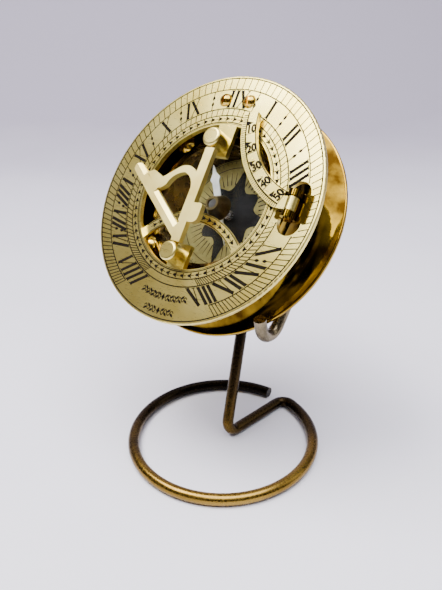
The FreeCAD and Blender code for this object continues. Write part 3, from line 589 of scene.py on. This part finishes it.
def antique_wire():
    """Nearly black patina, turning gold towards the front and right of the stand as painted light
    where the light falls, broken by a cloudy mottle of wear.
    """
    material, tree, shader = new_material("antique_wire")
    shader.inputs["Metallic"].default_value = 1.0
    coordinates = tree.nodes.new("ShaderNodeTexCoord")
    # Painted light: the stand is lighter towards its front and right, where the light falls, and
    # near black behind.
    painted_lit_side = tree.nodes.new("ShaderNodeVectorMath")
    painted_lit_side.operation = "DOT_PRODUCT"
    painted_lit_side.inputs[1].default_value = (0.62, -0.78, -0.35)
    tree.links.new(coordinates.outputs["Object"], painted_lit_side.inputs[0])
    cloud = object_noise(tree, 45.0, detail=5.0)
    spread = tree.nodes.new("ShaderNodeMapRange")
    spread.inputs["From Min"].default_value = -0.015
    spread.inputs["From Max"].default_value = 0.045
    tree.links.new(painted_lit_side.outputs["Value"], spread.inputs["Value"])
    # The painted light, broken up by a cloudy mottle of wear.
    painted_light_and_wear = tree.nodes.new("ShaderNodeMath")
    painted_light_and_wear.operation = "MULTIPLY"
    tree.links.new(spread.outputs["Result"], painted_light_and_wear.inputs[0])
    tree.links.new(cloud, painted_light_and_wear.inputs[1])
    colours = [(0.0, (0.012, 0.009, 0.006)), (0.14, (0.045, 0.028, 0.010)),
               (0.28, (0.17, 0.10, 0.018)), (0.60, (0.32, 0.20, 0.04))]
    tree.links.new(ramp(tree, painted_light_and_wear.outputs["Value"], colours), shader.inputs["Base Color"])
    fine = object_noise(tree, 1400.0, detail=3.0)
    tree.links.new(ramp(tree, fine, [(0.3, 0.20), (0.7, 0.36)]), shader.inputs["Roughness"])
    add_bump(tree, shader, fine, 0.25, 0.00004)
    return material


def dial_grain_turn():
    """Rotation that lines the grain up with the dial's own axes."""
    turn = DIAL.to_3x3().normalized().inverted().to_euler()
    return (turn.x, turn.y, turn.z)


def make_materials():
    """Every look by name. A grain is its scale, its stretch along each axis and its turn."""
    brushed = (2600.0, (0.12, 2.2, 1.0), dial_grain_turn())
    fine = (2500.0, (1, 1, 1), None)
    soft = (260.0, (1, 1, 1), None)
    return {
        "dial": metal("dial_brass", (0.72, 0.57, 0.14), (0.90, 0.77, 0.26), (0.26, 0.32), 90.0,
                      brushed, (0.09, 0.00002)),
        "satin": metal("satin_brass", (0.72, 0.57, 0.16), (0.90, 0.77, 0.30), (0.44, 0.50), 90.0,
                       fine, (0.09, 0.00002)),
        # Case brass: its deep dark and amber cloud is painted reflection, standing in for the
        # room's reflections in the polished cove.
        "case": metal("case_brass", (0.035, 0.016, 0.0015), (0.30, 0.185, 0.014), (0.03, 0.12),
                      85.0, soft, (0.2, 0.00012), (0.38, 0.64)),
        "disc": metal("disc_brass", (0.26, 0.15, 0.014), (0.50, 0.33, 0.05), (0.10, 0.2), 60.0,
                      soft, (0.1, 0.00008)),
        # Bowl brass: darkened as painted shade inside the deep compass bowl.
        "bowl": metal("bowl_brass_painted_shade", (0.10, 0.065, 0.03), (0.22, 0.14, 0.06), (0.2, 0.35), 120.0,
                      soft, (0.1, 0.00005)),
        "cap": metal("cap_brass", (0.16, 0.12, 0.06), (0.34, 0.26, 0.13), (0.25, 0.4), 200.0,
                     fine, (0.15, 0.00003)),
        "screw": metal("screw_brass", (0.50, 0.32, 0.045), (0.78, 0.56, 0.12), (0.06, 0.2), 300.0,
                       fine, (0.15, 0.00003)),
        "hook": metal("hook_brass", (0.07, 0.058, 0.036), (0.24, 0.195, 0.12), (0.20, 0.36), 140.0,
                      fine, (0.25, 0.00004)),
        "needle": metal("needle_steel", (0.74, 0.76, 0.80), (0.90, 0.91, 0.94), (0.28, 0.42), 300.0,
                        fine, (0.1, 0.00002)),
        "steel": metal("ground_steel", (0.45, 0.45, 0.46), (0.6, 0.6, 0.62), (0.2, 0.35), 300.0,
                       fine, (0.1, 0.00002)),
        "wire": antique_wire(),
        "fill": matt("black_fill", (0.004, 0.003, 0.002), (0.016, 0.012, 0.008), 0.7, 1800.0,
                     (0.2, 0.00002), 0.05),
        "print": matt("card_ink", (0.006, 0.006, 0.008), (0.02, 0.02, 0.026), 0.6, 900.0,
                      (0.1, 0.00001), 0.2),
        # Card paper: a cream darkened as painted shade, for the card lying deep in the shaded bowl.
        "card": matt("card_paper_painted_shade", (0.34, 0.28, 0.08), (0.47, 0.40, 0.14), 0.6, 500.0,
                     (0.1, 0.00002)),
        "jewel": matt("jewel_stone", (0.10, 0.10, 0.12), (0.18, 0.18, 0.21), 0.25, 700.0,
                      (0.05, 0.00001)),
        "glass": clear_glass(),
    }


NODE_LOOKS = {
    "stand_wire": "wire", "cradle_wire": "hook", "brazed_joint": "hook", "compass_card": "card",
    "compass_glass": "glass", "pivot_post": "steel", "needle": "needle", "cap_jewel": "jewel",
    "dial_plate": "dial", "gnomon": "satin", "latitude_arc": "dial", "gnomon_spring": "dial",
    "gnomon_post_north": "dial", "gnomon_post_south": "dial", "needle_cap": "cap",
    "compass_bowl": "bowl", "case_base": "disc",
}


def dress_nodes(looks):
    """Gives every CAD node its material: screws and pins the screw brass, others the case's."""
    for name, node in frame["nodes"].items():
        small = "screw" in name or "pin" in name
        look = NODE_LOOKS.get(name, "screw" if small else "case")
        node.data.materials.clear()
        node.data.materials.append(looks[look])


# ---- surroundings, in metres and degrees ----
CAMERA_AZIMUTH = 41.17
CAMERA_ELEVATION = 26.30
CAMERA_DISTANCE = 0.19438
CAMERA_ROLL = -0.485
CAMERA_LENS = 39.1
BOX_LOW, BOX_HIGH = (Vector(corner) for corner in cad_bounds)
CENTRE = (BOX_LOW + BOX_HIGH) / 2
TARGET = CENTRE + Vector((0.00424, 0.00009, -0.0055))
FLOOR_HALF_WIDTH, FLOOR_FRONT, FLOOR_BACK = 1.6, -0.9, 0.65
BACKDROP_HEIGHT, BACKDROP_BEND, BACKDROP_STEPS = 0.9, 0.3, 16
ROOM_STOPS = [(0.46, (0.004, 0.003, 0.002)), (0.54, (0.06, 0.045, 0.03)),
              (0.62, (0.55, 0.46, 0.36))]
CEILING_COLOUR = (0.95, 0.95, 1.0, 1)
SURROUND_COLOUR = (0.62, 0.61, 0.70, 1)
WORLD_STRENGTH = 0.7


def direction(azimuth, elevation):
    """The unit vector towards an azimuth, 0 at the front and turning to the right, and height."""
    side, lift = math.radians(azimuth), math.radians(elevation)
    return Vector((math.sin(side) * math.cos(lift), -math.cos(side) * math.cos(lift),
                   math.sin(lift)))


def make_floor():
    """A pale floor that sweeps up into a backdrop behind the object."""
    profile = [(FLOOR_FRONT, 0.0)]
    for step in range(BACKDROP_STEPS + 1):
        angle = math.radians(90 * step / BACKDROP_STEPS)
        profile.append((FLOOR_BACK - BACKDROP_BEND + BACKDROP_BEND * math.sin(angle),
                        BACKDROP_BEND - BACKDROP_BEND * math.cos(angle)))
    profile.append((FLOOR_BACK, BACKDROP_HEIGHT))
    points, faces = [], []
    turn = Matrix.Rotation(math.radians(CAMERA_AZIMUTH), 4, "Z")
    for y, z in profile:
        points += [turn @ Vector((side * FLOOR_HALF_WIDTH, y, z)) for side in (-1, 1)]
    for index in range(len(profile) - 1):
        faces.append([2 * index, 2 * index + 1, 2 * index + 3, 2 * index + 2])
    mesh = bpy.data.meshes.new("floor")
    mesh.from_pydata(points, [], faces)
    for face in mesh.polygons:
        face.use_smooth = True
    floor = bpy.data.objects.new("floor", mesh)
    bpy.context.scene.collection.objects.link(floor)
    floor.data.materials.append(floor_paper())


def area_light(name, azimuth, elevation, distance, size, power, colour):
    """A soft box that looks at the object from an azimuth and an elevation."""
    light = bpy.data.lights.new(name, "AREA")
    light.shape = "RECTANGLE"
    light.size, light.size_y = size
    light.energy = power
    light.color = colour
    holder = bpy.data.objects.new(name, light)
    bpy.context.scene.collection.objects.link(holder)
    away = direction(azimuth, elevation)
    holder.location = CENTRE + away * distance
    holder.rotation_euler = (-away).to_track_quat("-Z", "Y").to_euler()


def make_world():
    """A bright ceiling over a room of soft patches for reflections; the camera sees plain grey."""
    world = bpy.data.worlds.new("studio")
    bpy.context.scene.world = world
    world.use_nodes = True
    tree = world.node_tree
    background = tree.nodes["Background"]
    coordinates = tree.nodes.new("ShaderNodeTexCoord")
    split = tree.nodes.new("ShaderNodeSeparateXYZ")
    tree.links.new(coordinates.outputs["Generated"], split.inputs["Vector"])
    patches = tree.nodes.new("ShaderNodeTexNoise")
    patches.inputs["Scale"].default_value = 2.6
    patches.inputs["Detail"].default_value = 3.0
    tree.links.new(coordinates.outputs["Generated"], patches.inputs["Vector"])
    room = ramp(tree, patches.outputs["Fac"], ROOM_STOPS)
    ceiling = ramp(tree, split.outputs["Z"], [(0.55, 0.0), (0.85, 1.0)])
    blend = tree.nodes.new("ShaderNodeMixRGB")
    blend.inputs["Color2"].default_value = CEILING_COLOUR
    tree.links.new(ceiling, blend.inputs["Fac"])
    tree.links.new(room, blend.inputs["Color1"])
    rays = tree.nodes.new("ShaderNodeLightPath")
    behind = tree.nodes.new("ShaderNodeMixRGB")
    behind.inputs["Color2"].default_value = SURROUND_COLOUR
    tree.links.new(rays.outputs["Is Camera Ray"], behind.inputs["Fac"])
    tree.links.new(blend.outputs["Color"], behind.inputs["Color1"])
    tree.links.new(behind.outputs["Color"], background.inputs["Color"])
    background.inputs["Strength"].default_value = WORLD_STRENGTH


def make_camera():
    camera = bpy.data.objects.new("camera", bpy.data.cameras.new("camera"))
    bpy.context.scene.collection.objects.link(camera)
    away = direction(CAMERA_AZIMUTH, CAMERA_ELEVATION)
    camera.location = TARGET + away * CAMERA_DISTANCE
    look = (-away).to_track_quat("-Z", "Y").to_matrix()
    roll = Matrix.Rotation(math.radians(CAMERA_ROLL), 3, "Z")
    camera.rotation_euler = (look @ roll).to_euler()
    camera.data.lens = CAMERA_LENS
    camera.data.sensor_width = 36.0
    camera.data.clip_start = 0.01
    bpy.context.scene.camera = camera


def make_lights():
    area_light("sky_box", 60, 80, 0.9, (0.8, 0.8), 15, (1.0, 0.99, 0.98))
    area_light("left_box", -50, 62, 0.9, (0.6, 0.4), 12, (1.0, 0.97, 0.90))
    area_light("right_box", 125, 25, 0.8, (0.3, 0.5), 0.8, (1.0, 0.97, 0.92))


# ---- the whole model ----
def engrave(looks):
    """Lays every engraved piece as a flat black inlay and prints the compass card."""
    fill = looks["fill"]
    for name, draw in (("dial_circles", engrave_circles), ("dial_ticks", engrave_ticks),
                       ("hour_numerals", engrave_hours), ("half_hours", engrave_half_hours),
                       ("leaf_border", engrave_leaf_border), ("flourish", engrave_flourish)):
        inlay = Inlay(INLAY_HEIGHT)
        draw(inlay)
        inlay.piece(name, "dial", "dial_brass", fill)
    strip = Inlay(SPRING_TOP + INLAY_HEIGHT)
    engrave_spring(strip)
    strip.piece("spring_border", "dial", "dial_brass", fill)
    scale = Inlay(ARC_TOP + INLAY_HEIGHT)
    engrave_arc(scale)
    scale.piece("arc_scale", "latitude_arc", "dial_brass", fill)
    for index, value in enumerate(ARC_NUMBERS):
        arc_number(value, ARC_ROOT_TURN - ARC_CELL * (index + 0.21), fill)
    print_card(looks["print"])


looks = make_materials()
dress_nodes(looks)
engrave(looks)
make_floor()
make_camera()
make_world()
make_lights()
